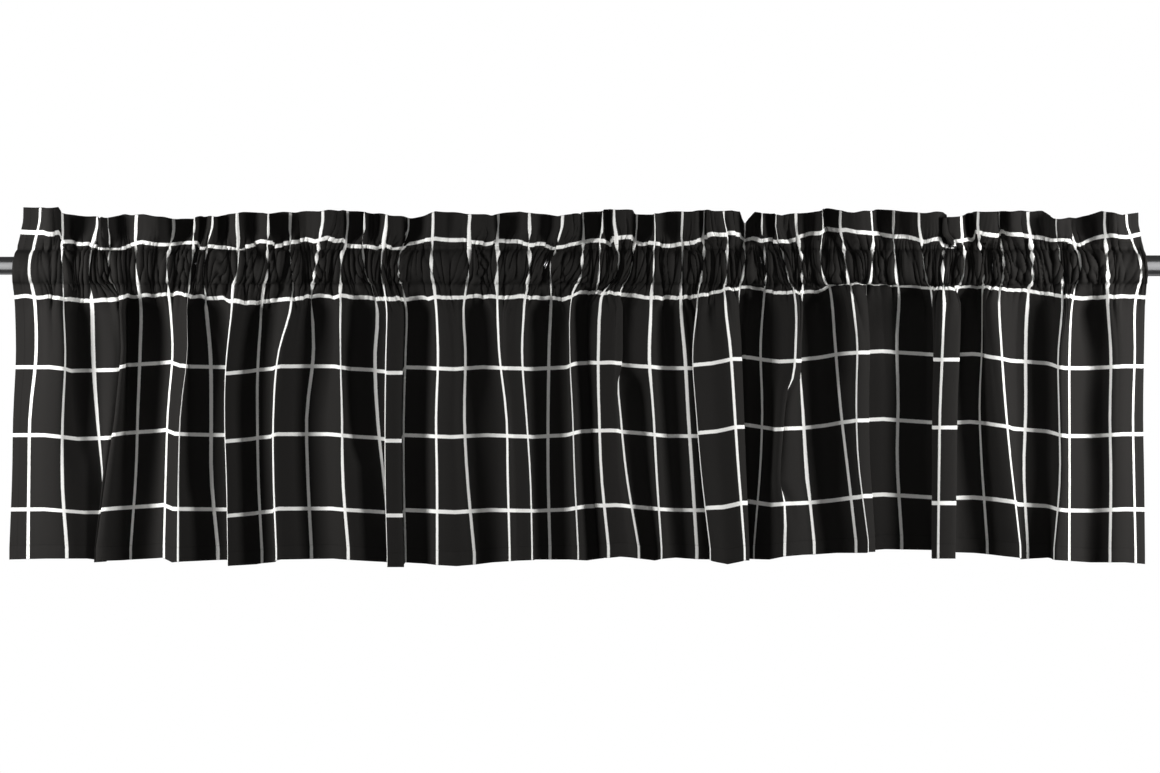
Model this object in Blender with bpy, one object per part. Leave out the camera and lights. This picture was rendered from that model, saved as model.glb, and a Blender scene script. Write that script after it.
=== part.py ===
"""Rod-pocket window valance on a two-piece curtain rod.

One panel of windowpane-check cotton is turned to the back at its top and
stitched down twice. That gives a stand-up frilled heading, a pocket for the
rod and a skirt that hangs in soft, uneven folds. The panel is pushed together
on the rod to a little over half its flat width.

Frame: metres, +Z up, the rod along +X, the front of the valance towards -Y.
The origin is the centre of the rod's left end.

The folds are set out from the woven check. Its upright lines are one pitch
apart on the flat cloth. CHECKS has a row for each line, from left to right,
with the place where the line ends up after gathering. The cloth between two
lines keeps its length: what isn't used up sideways bows to the front or back.
"""

import math
from collections import namedtuple

import bmesh
import bpy
import numpy as np

MM = 0.001

# Flat cloth, in millimetres
CHECK_PITCH = 48.0
LEFT_MARGIN = 22.0
RIGHT_MARGIN = 18.0
HEADING = 38.0
POCKET = 51.0
SKIRT = 293.0
CLOTH = 1.8
HEADING_CLOTH = 2.8
POCKET_WALL = 1.2

# Rod, in millimetres
ROD_LENGTH = 1272.0
WIDE_DIAMETER = 22.0
NARROW_DIAMETER = 19.0
SLIDE_GAP = 0.35
TUBE_WALL = 0.5 * (WIDE_DIAMETER - NARROW_DIAMETER) - SLIDE_GAP
END_WALL = 2.0
WIDE_START = 560.0
NARROW_END = 860.0
ROD_SIDES = 24

# Heights over the rod's axis, in millimetres
TOP_SEAM_Z = 17.0
LOWER_SEAM_Z = -19.5

# Distances down the cloth from its top edge where CHECKS gives the lines
HEAD_LEVEL = 12.0
POCKET_LEVEL = 64.0
UNDER_LEVEL = 115.0
MIDDLE_LEVEL = 230.0
HEM_LEVEL = 371.0

# Fold shaping
ARCH = 0.88
SOFTNESS = 8.0
FINE_STEP = 2.0
FOLD_START = 55.0
BOW_START = 110.0
GATHER_FADE = 40.0
GATHER_MOST = 4.4
SEAM_GATHER = 1.4
SMOOTH_SPARE = 0.35
FULL_SPARE = 0.95
SEAM_LIFT = 0.18
SKIRT_LIFT = 0.8
HEADING_BOW = 0.6
COLUMNS_PER_CHECK = 4
SKIRT_SHARES = (1.0, 0.78, 0.56, 0.34, 0.16, 0.06, 0.0)
HEADING_SHARES = (0.0, 0.5, 1.0)

# Each upright check line: its x from the rod's left end at the heading, the
# pocket, under the pocket, the middle and the hem; how far in front of the rod
# it lies in the heading and in the skirt; and the bow of the cloth from it to
# the next line, in the heading and in the skirt (1 to the front, -1 to the back).
Check = namedtuple("Check", "head pocket under middle hem head_front front head_bow bow")
CHECKS = [
    Check(66, 54, 60, 55, 54, 4, -18, 0.6, 0.5),
    Check(89, 91, 92, 90, 93, 8, 8, -1.0, -1.0),
    Check(126, 117, 121, 127, 134, 2, -18, 0.3, 0.4),
    Check(138, 138, 145, 151, 149, 4, -18, -0.7, 0.5),
    Check(168, 169, 173, 169, 161, 2, -6, 0.9, -1.0),
    Check(207, 201, 203, 200, 197, -4, -12, -1.0, -0.3),
    Check(229, 225, 223, 215, 211, 4, 9, -0.6, -0.5),
    Check(249, 240, 244, 247, 253, 4, -19, -0.9, -0.9),
    Check(274, 276, 266, 260, 263, 4, 12, -1.0, 0.3),
    Check(308, 305, 299, 296, 300, 6, -18, -0.9, -0.5),
    Check(331, 332, 327, 311, 315, -6, 12, -0.3, 0.3),
    Check(365, 360, 354, 348, 352, 6, -15, 0.5, -0.9),
    Check(391, 384, 384, 387, 391, -4, 10, -0.8, -1.0),
    Check(409, 409, 417, 425, 428, 5, -4, -0.9, -0.6),
    Check(433, 427, 433, 431, 433, 6, 12, 0.5, 0.6),
    Check(456, 445, 453, 450, 452, -12, -14, -0.3, -1.0),
    Check(482, 480, 486, 485, 486, 5, 6, -0.6, 0.6),
    Check(521, 521, 515, 515, 523, 5, -10, 0.7, -1.0),
    Check(551, 550, 551, 561, 564, -5, -6, -0.6, 0.5),
    Check(584, 583, 578, 582, 588, 6, 8, -1.0, -0.5),
    Check(620, 611, 606, 604, 605, 6, -16, 0.5, -0.4),
    Check(641, 641, 628, 630, 636, -8, 10, -0.6, -0.5),
    Check(662, 656, 652, 664, 668, 6, -21, -0.5, -0.8),
    Check(674, 678, 666, 658, 663, 4, 2, 0.5, 0.8),
    Check(698, 693, 685, 681, 697, -8, -10, -0.6, -0.7),
    Check(717, 716, 714, 716, 723, 7, 2, -0.7, -1.0),
    Check(747, 745, 743, 754, 761, 2, -4, 0.6, -0.7),
    Check(770, 769, 761, 760, 772, 0, 8, 0.6, -0.6),
    Check(791, 794, 793, 802, 806, 6, 12, 0.2, 0.6),
    Check(813, 811, 807, 804, 804, -10, -21, -0.5, -0.4),
    Check(831, 835, 831, 831, 824, 5, -18, -0.8, 0.3),
    Check(846, 857, 864, 860, 852, 7, 12, -0.4, 0.3),
    Check(867, 873, 871, 874, 880, -2, -14, -0.5, -1.0),
    Check(895, 893, 906, 915, 926, 4, -14, -0.9, -0.3),
    Check(914, 921, 927, 930, 936, 0, 10, 0.7, 0.6),
    Check(947, 947, 941, 939, 939, 2, -10, -0.9, 0.6),
    Check(971, 971, 975, 975, 979, -2, -21, -0.4, -0.6),
    Check(997, 1003, 1008, 1016, 1015, 6, -12, 0.6, 0.3),
    Check(1027, 1024, 1023, 1019, 1018, -4, 12, 0.8, 0.8),
    Check(1042, 1045, 1037, 1032, 1030, 4, -8, -1.0, -0.5),
    Check(1060, 1065, 1065, 1063, 1068, 4, -19, 0.6, 0.5),
    Check(1082, 1089, 1084, 1091, 1102, -6, 12, 0.7, 0.4),
    Check(1113, 1118, 1111, 1109, 1114, -2, -16, -0.5, -1.0),
    Check(1143, 1148, 1147, 1147, 1142, 8, 4, 0.5, -0.5),
    Check(1156, 1169, 1157, 1156, 1156, -4, 8, -0.8, -1.0),
    Check(1194, 1197, 1199, 1201, 1200, 6, 4, 0.5, 0.6),
    Check(1217, 1233, 1226, 1224, 1227, 2, -14, 0.0, 0.0),
]

# The two side edges of the cloth, in the same columns
LEFT_EDGE = Check(48, 36, 40, 38, 33, 2, -26, 0.0, 0.0)
RIGHT_EDGE = Check(1230, 1240, 1238, 1236, 1237, -2, -22, 0.0, 0.0)
LINES = [LEFT_EDGE] + CHECKS + [RIGHT_EDGE]

# Where the skirt is hitched up on the rod, and by how much
Lift = namedtuple("Lift", "x rise")
SKIRT_LIFTS = [
    Lift(32, 0),
    Lift(125, -2),
    Lift(205, 5),
    Lift(275, -4),
    Lift(350, 2),
    Lift(442, -5),
    Lift(480, 0),
    Lift(560, -1),
    Lift(650, 5),
    Lift(750, 0),
    Lift(820, 12),
    Lift(860, 7),
    Lift(915, 13),
    Lift(975, 16),
    Lift(1020, 8),
    Lift(1050, 13),
    Lift(1110, 6),
    Lift(1170, -1),
    Lift(1240, 0),
]

# The height of the heading's top edge over the rod's axis, dips and peaks
Edge = namedtuple("Edge", "x height")
HEADING_EDGE = [
    Edge(50, 60),
    Edge(110, 55),
    Edge(134, 51),
    Edge(170, 54),
    Edge(209, 49),
    Edge(231, 54),
    Edge(254, 52),
    Edge(293, 59),
    Edge(310, 54),
    Edge(368, 59),
    Edge(428, 55),
    Edge(456, 50),
    Edge(500, 58),
    Edge(538, 53),
    Edge(570, 58),
    Edge(617, 53),
    Edge(684, 60),
    Edge(697, 54),
    Edge(781, 57),
    Edge(799, 56),
    Edge(812, 45),
    Edge(822, 56),
    Edge(869, 53),
    Edge(922, 59),
    Edge(993, 55),
    Edge(1016, 57),
    Edge(1030, 49),
    Edge(1050, 55),
    Edge(1115, 58),
    Edge(1139, 50),
    Edge(1163, 51),
    Edge(1190, 58),
    Edge(1212, 53),
    Edge(1235, 56),
]

# The pocket's hollow beside the rod: distance in front of the axis and height
Point = namedtuple("Point", "front height")
HOLLOW = [
    Point(0.0, -14.8),
    Point(9.2, -11.0),
    Point(12.2, -3.0),
    Point(11.9, 5.05),
    Point(0.0, 14.5),
]

INK = (0.022, 0.022, 0.024, 1.0)
STEEL = (0.46, 0.46, 0.47, 1.0)


def clear_scene():
    """Empty the scene, so that the script can run again."""
    for old in list(bpy.data.objects):
        bpy.data.objects.remove(old, do_unlink=True)


def material(name, colour, roughness, metallic):
    """Return a Principled material."""
    made = bpy.data.materials.new(name)
    made.use_nodes = True
    shader = made.node_tree.nodes["Principled BSDF"]
    shader.inputs["Base Color"].default_value = colour
    shader.inputs["Roughness"].default_value = roughness
    shader.inputs["Metallic"].default_value = metallic
    return made


def ease(share):
    """Go smoothly from 0 to 1 as share does, and stay there."""
    share = np.clip(share, 0.0, 1.0)
    return share * share * (3.0 - 2.0 * share)


def smooth_through(at, knots, values):
    """Read a smooth curve through values at knots, at each place in at."""
    knots = np.asarray(knots, float)
    values = np.asarray(values, float)
    slopes = np.gradient(values, knots)
    index = np.clip(np.searchsorted(knots, at) - 1, 0, len(knots) - 2)
    width = knots[index + 1] - knots[index]
    share = np.clip((at - knots[index]) / width, 0.0, 1.0)
    rest = 1.0 - share
    start = rest * rest * (1.0 + 2.0 * share)
    end = share * share * (3.0 - 2.0 * share)
    lead = share * rest * rest * width
    tail = -share * share * rest * width
    return (
        start * values[index]
        + end * values[index + 1]
        + lead * slopes[index]
        + tail * slopes[index + 1]
    )


def flat_lines():
    """Return the flat places of the left edge, every check line and the right edge."""
    lines = [CHECK_PITCH * number for number in range(len(CHECKS))]
    return np.array([-LEFT_MARGIN] + lines + [lines[-1] + RIGHT_MARGIN])


def column_places():
    """Return the flat places of the solid's columns, evenly within each check."""
    lines = flat_lines()
    places = [lines[0], 0.5 * (lines[0] + lines[1])]
    for left in lines[1:-2]:
        places += [left + CHECK_PITCH * part / COLUMNS_PER_CHECK for part in range(COLUMNS_PER_CHECK)]
    places += [lines[-2], 0.5 * (lines[-2] + lines[-1]), lines[-1]]
    return np.array(places)


def line_x(level):
    """Return the x of both edges and every line, at a distance down the cloth."""
    levels = [HEAD_LEVEL, POCKET_LEVEL, UNDER_LEVEL, MIDDLE_LEVEL, HEM_LEVEL]
    held = min(max(level, HEAD_LEVEL), HEM_LEVEL)
    return np.array([smooth_through(np.array([held]), levels, row[:5])[0] for row in LINES])


def folded(x, front, bow):
    """Add the middle of each check, bowed so that the cloth keeps its length.

    x and front give both edges and every line, and bow each line's arch to the
    next. Returns the flat places, x and front of all the points of the fold.
    """
    flat = flat_lines()
    places = [flat[0]]
    xs = [x[0]]
    fronts = [front[0]]
    for number in range(1, len(flat) - 1):
        places.append(flat[number])
        xs.append(x[number])
        fronts.append(front[number])
        if number == len(flat) - 2:
            break
        across = x[number + 1] - x[number]
        forward = front[number + 1] - front[number]
        chord = max(math.hypot(across, forward), 1.0)
        spare = max((0.5 * CHECK_PITCH) ** 2 - (0.5 * chord) ** 2, 0.0)
        arch = ARCH * math.sqrt(spare) * bow[number]
        places.append(flat[number] + 0.5 * CHECK_PITCH)
        xs.append(x[number] + 0.5 * across - arch * forward / chord)
        fronts.append(front[number] + 0.5 * forward + arch * across / chord)
    places.append(flat[-1])
    xs.append(x[-1])
    fronts.append(front[-1])
    return np.array(places), np.array(xs), np.array(fronts)


def soften(values):
    """Round a fold's turns, as cloth can't bend sharply; its two ends stay put."""
    reach = int(3.0 * SOFTNESS / FINE_STEP)
    away = np.arange(-reach, reach + 1) * FINE_STEP
    weight = np.exp(-0.5 * (away / SOFTNESS) ** 2)
    before = 2.0 * values[0] - values[reach:0:-1]
    after = 2.0 * values[-1] - values[-2 : -reach - 2 : -1]
    padded = np.concatenate([before, values, after])
    return np.convolve(padded, weight / weight.sum(), mode="valid")


def fold(at, level, fronts, bows):
    """Return x and front of the cloth at flat places, at a distance down the cloth."""
    places, xs, depths = folded(line_x(level), fronts, bows)
    fine = np.arange(places[0], places[-1] + 0.5 * FINE_STEP, FINE_STEP)
    x = soften(smooth_through(fine, places, xs))
    front = soften(smooth_through(fine, places, depths))
    return np.interp(at, fine, x), np.interp(at, fine, front)


def heading_fold(at, level, share):
    """Return x and front of the heading at flat places, with share of its full fold."""
    fronts = np.array([row.head_front for row in LINES]) * share
    bows = np.array([row.head_bow for row in LINES]) * HEADING_BOW * share
    return fold(at, level, fronts, bows)


def skirt_fold(at, down):
    """Return x and front of the skirt at flat places, at a distance under its seam."""
    fronts = np.array([row.front for row in LINES]) * ease(down / FOLD_START)
    bows = np.array([row.bow for row in LINES]) * ease(down / BOW_START)
    return fold(at, HEADING + POCKET + down, fronts, bows)

def zigzag(at):
    """Return 1 and -1 by turns, one for each column."""
    return np.where(np.arange(len(at)) % 2 == 0, 1.0, -1.0)


def rod_x(at):
    """Return the x of the cloth on the rod at flat places."""
    return smooth_through(at, flat_lines(), line_x(POCKET_LEVEL))


def gather(at):
    """Return how finely gathered the cloth is at each column, 0 where it lies smooth."""
    step = np.abs(np.gradient(rod_x(at), at))
    spare = np.sqrt(np.clip(1.0 - step * step, 0.0, 1.0))
    return ease((spare - SMOOTH_SPARE) / (FULL_SPARE - SMOOTH_SPARE))


def sides_of(x, front, thickness):
    """Return the front and back sides of a sheet that follows a fold."""
    run_x = np.gradient(x)
    run_front = np.gradient(front)
    length = np.maximum(np.hypot(run_x, run_front), 1e-6)
    aside = -run_front / length * 0.5 * thickness
    ahead = run_x / length * 0.5 * thickness
    return (x + aside, front + ahead), (x - aside, front - ahead)


def skirt_rows(at):
    """Return the skirt's rows from hem to lower seam, as front and back points."""
    lift = np.interp(rod_x(at), [row.x for row in SKIRT_LIFTS], [row.rise for row in SKIRT_LIFTS])
    fine = SEAM_GATHER * gather(at) * zigzag(at)
    rows = []
    for share in SKIRT_SHARES:
        down = SKIRT * share
        x, front = skirt_fold(at, down)
        front = front + fine * ease(1.0 - down / GATHER_FADE)
        height = LOWER_SEAM_Z - down + lift * (SEAM_LIFT + SKIRT_LIFT * share)
        rows.append((sides_of(x, front, CLOTH), height))
    return rows


def pocket_rows(at):
    """Return the rows of the pocket between its seams, round the front and back of the rod."""
    x = rod_x(at)
    deep = POCKET_WALL + 0.5 * GATHER_MOST * gather(at) * (1.0 + zigzag(at))
    rows = []
    for point in HOLLOW[1:-1]:
        out = 1.0 + deep / math.hypot(point.front, point.height)
        rows.append((((x, point.front * out), (x, -point.front * out)), point.height * out))
    return rows


def heading_rows(at):
    """Return the heading's rows from top seam to top edge, as front and back points."""
    edge_x = [row.x for row in HEADING_EDGE]
    edge_height = [row.height for row in HEADING_EDGE]
    fine = SEAM_GATHER * gather(at) * zigzag(at)
    rows = []
    for share in HEADING_SHARES:
        x, front = heading_fold(at, HEADING * (1.0 - share), share)
        front = front + fine * (1.0 - share)
        height = TOP_SEAM_Z + (np.interp(x, edge_x, edge_height) - TOP_SEAM_Z) * share
        rows.append((sides_of(x, front, HEADING_CLOTH), height))
    return rows


def skin(work, rows, side):
    """Make the points of the cloth's front (0) or back (1), a list for each row."""
    made = []
    for sides, heights in rows:
        places = zip(sides[side][0], sides[side][1], heights)
        made.append([work.verts.new((x * MM, -front * MM, z * MM)) for x, front, z in places])
    return made


def hollow_points(work, x):
    """Make the hollow's front and back points at one end; they share the seams' points."""
    front = [work.verts.new((x * MM, -point.front * MM, point.height * MM)) for point in HOLLOW]
    back = [work.verts.new((x * MM, point.front * MM, point.height * MM)) for point in HOLLOW[1:-1]]
    return front, [front[0]] + back + [front[-1]]


def add_face(work, loop, flip):
    """Add an end face, turned round at the right end of the cloth."""
    work.faces.new(tuple(reversed(loop)) if flip else loop)


def close_end(work, front, back, front_in, back_in, flip):
    """Close one end of the cloth round its hollow, from the points of its end column."""
    first = len(SKIRT_SHARES) - 1
    last = first + len(HOLLOW) - 1
    for row in range(len(front) - 1):
        if first <= row < last:
            k = row - first
            add_face(work, (front[row], front[row + 1], front_in[k + 1], front_in[k]), flip)
            add_face(work, (back_in[k], back_in[k + 1], back[row + 1], back[row]), flip)
        else:
            add_face(work, (front[row], front[row + 1], back[row + 1], back[row]), flip)
    add_face(work, (front[first], front_in[0], back[first]), flip)
    add_face(work, (front[last], back[last], front_in[-1]), flip)


def make_valance(cloth):
    """Build the valance as one closed solid with the pocket running through it."""
    at = column_places()
    rows = skirt_rows(at) + pocket_rows(at) + heading_rows(at)
    work = bmesh.new()
    front = skin(work, rows, 0)
    back = skin(work, rows, 1)
    ring = front + back[::-1]
    for lower, upper in zip(ring, ring[1:] + ring[:1]):
        for i in range(len(at) - 1):
            work.faces.new((lower[i], lower[i + 1], upper[i + 1], upper[i]))

    inside = []
    for column, x, flip in ((0, rod_x(at)[0], False), (-1, rod_x(at)[-1], True)):
        front_in, back_in = hollow_points(work, x)
        front_end = [row[column] for row in front]
        back_end = [row[column] for row in back]
        close_end(work, front_end, back_end, front_in, back_in, flip)
        inside.append(front_in + back_in[-2:0:-1])
    left, right = inside
    for k, point in enumerate(left):
        after = (k + 1) % len(left)
        work.faces.new((point, left[after], right[after], right[k]))

    bmesh.ops.triangulate(work, faces=work.faces[:])
    bmesh.ops.recalc_face_normals(work, faces=work.faces[:])
    mesh = bpy.data.meshes.new("valance")
    work.to_mesh(mesh)
    work.free()
    valance = bpy.data.objects.new("valance", mesh)
    valance.data.materials.append(cloth)
    bpy.context.scene.collection.objects.link(valance)


def make_tube(name, start, end, diameter, closed_left, steel):
    """Build one tube of the rod along X, closed at its outer end and open at the other."""
    radius = 0.5 * diameter
    bore = radius - TUBE_WALL
    near, far = (start, end) if closed_left else (end, start)
    inward = 1.0 if closed_left else -1.0
    profile = [
        (near, 0.0),
        (near, radius),
        (far, radius),
        (far, bore),
        (near + inward * END_WALL, bore),
        (near + inward * END_WALL, 0.0),
    ]
    work = bmesh.new()
    points = [work.verts.new((x * MM, 0.0, out * MM)) for x, out in profile]
    edges = [work.edges.new(pair) for pair in zip(points, points[1:])]
    bmesh.ops.spin(
        work,
        geom=points + edges,
        cent=(0.0, 0.0, 0.0),
        axis=(1.0, 0.0, 0.0),
        angle=math.tau,
        steps=ROD_SIDES,
        use_merge=True,
        use_duplicate=False,
    )
    bmesh.ops.remove_doubles(work, verts=work.verts[:], dist=0.00001)
    bmesh.ops.recalc_face_normals(work, faces=work.faces[:])
    mesh = bpy.data.meshes.new(name)
    work.to_mesh(mesh)
    work.free()
    mesh.shade_smooth()
    mesh.set_sharp_from_angle(angle=math.radians(40.0))
    tube = bpy.data.objects.new(name, mesh)
    tube.data.materials.append(steel)
    bpy.context.scene.collection.objects.link(tube)


def main():
    """Build the cloth and the two tubes of its rod."""
    clear_scene()
    cloth = material("black check cotton", INK, 0.9, 0.0)
    steel = material("satin steel", STEEL, 0.35, 1.0)
    make_valance(cloth)
    make_tube("rod_wide_tube", WIDE_START, ROD_LENGTH, WIDE_DIAMETER, False, steel)
    make_tube("rod_narrow_tube", 0.0, NARROW_END, NARROW_DIAMETER, True, steel)


main()
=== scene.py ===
"""Looks of a rod-pocket window valance: windowpane-check cotton gathered on a steel rod.

The cloth is one thin sheet. Its flat size, its check and its seams are set in
millimetres on the flat cloth, and the folds are set out from the check's upright
lines: each row of LINES says where one line hangs. Cloth between two lines keeps
its length, so what isn't used up sideways bows to the front or back, and next to
the seams it goes into fine gathers.

Frame: metres, +Z up, the rod along +X, the front of the cloth towards -Y. The
origin is the centre of the rod's left end.
"""

import logging
import math
from dataclasses import dataclass, field
from enum import Enum
from typing import NamedTuple

import bmesh
import bpy
import numpy as np
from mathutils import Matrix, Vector

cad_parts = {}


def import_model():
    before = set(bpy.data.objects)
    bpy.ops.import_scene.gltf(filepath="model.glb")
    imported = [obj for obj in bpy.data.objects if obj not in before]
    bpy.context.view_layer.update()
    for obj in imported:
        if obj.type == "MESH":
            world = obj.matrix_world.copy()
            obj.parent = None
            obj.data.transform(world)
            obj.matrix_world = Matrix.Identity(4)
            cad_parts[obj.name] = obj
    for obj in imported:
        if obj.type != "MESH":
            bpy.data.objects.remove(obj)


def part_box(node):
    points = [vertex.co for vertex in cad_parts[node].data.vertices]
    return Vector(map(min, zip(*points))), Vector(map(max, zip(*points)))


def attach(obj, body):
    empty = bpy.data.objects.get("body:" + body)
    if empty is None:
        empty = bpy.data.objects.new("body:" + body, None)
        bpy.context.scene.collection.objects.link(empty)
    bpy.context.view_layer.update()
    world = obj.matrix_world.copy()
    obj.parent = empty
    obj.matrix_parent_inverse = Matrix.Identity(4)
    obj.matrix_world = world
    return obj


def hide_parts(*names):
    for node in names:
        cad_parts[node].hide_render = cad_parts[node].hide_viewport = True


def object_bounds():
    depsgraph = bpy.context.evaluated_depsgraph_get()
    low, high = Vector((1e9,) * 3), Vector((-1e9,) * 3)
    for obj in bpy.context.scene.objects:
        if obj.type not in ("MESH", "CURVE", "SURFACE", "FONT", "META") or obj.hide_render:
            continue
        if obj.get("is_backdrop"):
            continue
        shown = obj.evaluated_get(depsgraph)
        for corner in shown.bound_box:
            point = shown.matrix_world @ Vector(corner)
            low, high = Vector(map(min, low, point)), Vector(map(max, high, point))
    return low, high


LOG = logging.getLogger("valance")
MM = 0.001
Array = np.ndarray
LEVELS = np.array([12.0, 64.0, 115.0, 160.0, 230.0, 290.0, 371.0])
TUCK_ALONG = np.array([-0.5, -0.25, 0.0, 0.16, 0.34])
TUCK_ACROSS = np.array([-3.0, 5.0, 2.0, -2.0, 8.5])


class Line(NamedTuple):
    """Where one upright line of the check hangs, in millimetres.

    The first seven are its x from the rod's left end, at the distances down the
    cloth in LEVELS: in the heading, on the rod and five times down the skirt.
    head_front, front and hem_front say how far it lies in front of the rod in the
    heading, in the skirt and at the hem. The bows turn the cloth between it and
    the next line to the front (1) or back (-1).
    """

    head: float
    pocket: float
    under: float
    upper: float
    middle: float
    lower: float
    hem: float
    head_front: float
    front: float
    hem_front: float
    head_bow: float
    bow: float
    hem_bow: float


LINES = [
    Line(48, 36, 39, 40, 37, 36, 33, 2, -8, -8, 0.0, 0.0, 0.0),
    Line(66, 54, 61, 62, 55, 54, 53, 4, -3, -3, 0.6, 0.3, 0.3),
    Line(89, 90, 91, 93, 90, 89, 94, 8, 8, 8, -1.0, -1.0, -1.0),
    Line(126, 117, 121, 122, 127, 133, 138, 2, -13, -18, 0.3, 0.9, -0.6),
    Line(138, 138, 142, 144, 143, 136, 127, 4, -14, -6, -0.7, -0.5, 0.4),
    Line(168, 169, 173, 172, 169, 167, 161, 2, -22, -20, 0.9, -1.0, -1.0),
    Line(207, 200, 203, 206, 201, 199, 197, -4, -15, -13, -1.0, -0.2, -0.2),
    Line(229, 225, 222, 222, 214, 212, 211, 4, 10, 11, -0.6, -0.9, -0.8),
    Line(249, 240, 242, 246, 247, 247, 254, 4, -19, -18, -0.9, -0.9, -0.9),
    Line(274, 276, 268, 262, 260, 262, 263, 4, 12, 12, -1.0, 0.3, 0.1),
    Line(308, 306, 300, 297, 296, 297, 301, 6, -20, -19, -0.9, -0.5, -0.5),
    Line(331, 332, 331, 318, 312, 312, 315, -6, 12, 12, -0.3, 0.2, 0.4),
    Line(365, 358, 353, 355, 348, 349, 353, 6, -13, -12, 0.5, -0.8, -0.8),
    Line(391, 384, 384, 384, 386, 386, 392, -4, 12, 11, -0.8, -1.4, -1.4),
    Line(409, 409, 423, 421, 424, 430, 438, 5, -9, -12, -0.9, -0.5, -0.5),
    Line(433, 428, 432, 431, 430, 430, 432, 6, 12, 13, 0.5, 0.6, 0.7),
    Line(456, 445, 453, 452, 450, 450, 452, -12, -15, -16, -0.3, -0.9, -0.9),
    Line(482, 480, 485, 487, 485, 486, 486, 5, 7, 7, -0.6, 0.5, 0.4),
    Line(521, 521, 514, 516, 515, 518, 526, 5, -4, -4, 0.7, -0.7, -0.9),
    Line(551, 550, 551, 553, 561, 562, 564, -5, -2, -3, -0.6, 0.7, 0.6),
    Line(584, 583, 579, 577, 582, 586, 588, 6, 7, 7, -1.0, -0.5, -0.4),
    Line(620, 608, 606, 605, 604, 604, 606, 6, -17, -17, 0.5, -0.6, -0.6),
    Line(641, 641, 628, 627, 630, 632, 636, -8, 10, 10, -0.6, -0.8, -0.8),
    Line(662, 658, 655, 657, 662, 664, 668, 6, -21, -21, -0.5, 0.6, 0.6),
    Line(674, 678, 660, 657, 658, 660, 668, 4, 4, 5, 0.5, 0.8, 0.7),
    Line(698, 693, 676, 674, 680, 686, 700, -8, -11, -8, -0.6, -0.7, -0.7),
    Line(717, 716, 714, 712, 716, 719, 724, 7, 4, 4, -0.7, -1.1, -1.0),
    Line(747, 745, 745, 749, 753, 757, 762, 2, -4, -4, 0.6, -0.7, -0.7),
    Line(770, 769, 761, 756, 760, 765, 775, 0, 8, 8, 0.6, -0.3, -0.3),
    Line(791, 794, 791, 797, 802, 806, 813, 6, 13, 13, 0.2, 0.6, 0.6),
    Line(813, 811, 806, 804, 804, 804, 804, -10, -22, -21, -0.5, -0.4, -0.4),
    Line(831, 835, 832, 829, 831, 829, 822, 5, -19, -19, -0.8, 0.2, 0.2),
    Line(846, 857, 867, 867, 862, 858, 855, 7, 12, 8, -0.4, 0.3, 0.2),
    Line(867, 873, 872, 869, 874, 878, 886, -2, -15, -14, -0.5, -1.0, -1.0),
    Line(895, 893, 904, 908, 914, 921, 931, 4, -14, -14, -0.9, -0.3, -0.3),
    Line(914, 921, 925, 931, 930, 932, 943, 0, 12, 12, 0.7, 0.6, 0.6),
    Line(947, 947, 941, 939, 939, 938, 938, 2, -14, -13, -0.9, 0.2, 0.2),
    Line(971, 971, 976, 974, 975, 974, 979, -2, -22, -21, -0.4, -0.6, -0.6),
    Line(997, 1004, 1012, 1016, 1016, 1016, 1015, 6, -14, -13, 0.6, 0.4, 0.3),
    Line(1027, 1023, 1023, 1022, 1019, 1018, 1017, -4, 13, 13, 0.8, 0.8, 0.8),
    Line(1042, 1045, 1036, 1034, 1032, 1032, 1030, 4, -9, -9, -1.0, -0.5, -0.5),
    Line(1060, 1065, 1065, 1065, 1062, 1064, 1070, 4, -14, -14, 0.6, 0.6, 0.5),
    Line(1082, 1088, 1083, 1085, 1090, 1096, 1106, -6, 10, 10, 0.7, -0.3, -0.2),
    Line(1113, 1118, 1112, 1110, 1110, 1108, 1112, -2, -11, -11, -0.5, -1.0, -0.9),
    Line(1143, 1148, 1149, 1145, 1146, 1147, 1140, 8, 11, 11, 0.5, 0.2, 0.2),
    Line(1156, 1169, 1158, 1156, 1156, 1156, 1156, -4, 2, 3, -0.8, -1.9, -1.7),
    Line(1194, 1197, 1198, 1201, 1200, 1201, 1200, 6, 4, 5, 0.5, 0.2, 0.2),
    Line(1217, 1233, 1226, 1226, 1224, 1225, 1227, 2, -3, -4, 0.0, 0.0, 0.0),
    Line(1230, 1240, 1237, 1236, 1235, 1236, 1237, -2, -9, -10, 0.0, 0.0, 0.0),
]


class Tuck(NamedTuple):
    """A place where one fold of the skirt lies over the next and hides some cloth.

    place is counted in check lines from the left edge, and side is where the upper
    fold lies, 1 right or -1 left. front is the upper fold's edge, and drop is how
    far behind it the lower cloth shows. The last five are the edge's x in
    millimetres at five heights down the skirt. It is there from start to stop.
    """

    place: float
    side: int
    front: float
    drop: float
    start: float
    stop: float
    under: float
    upper: float
    middle: float
    lower: float
    hem: float


TUCKS = [
    Tuck(4, 1, 2, 5, 80, 420, 149, 151, 144, 135, 124),
    Tuck(25, -1, 6, 5, 90, 205, 684, 684, 683, 683, 683),
    Tuck(32, -1, 13, 8, 190, 335, 862, 860, 856, 851, 850),
]


class Rise(NamedTuple):
    """How far the skirt is hitched up at one place, near its seam, half way and at the hem."""

    x: float
    near: float
    middle: float
    hem: float


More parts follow.
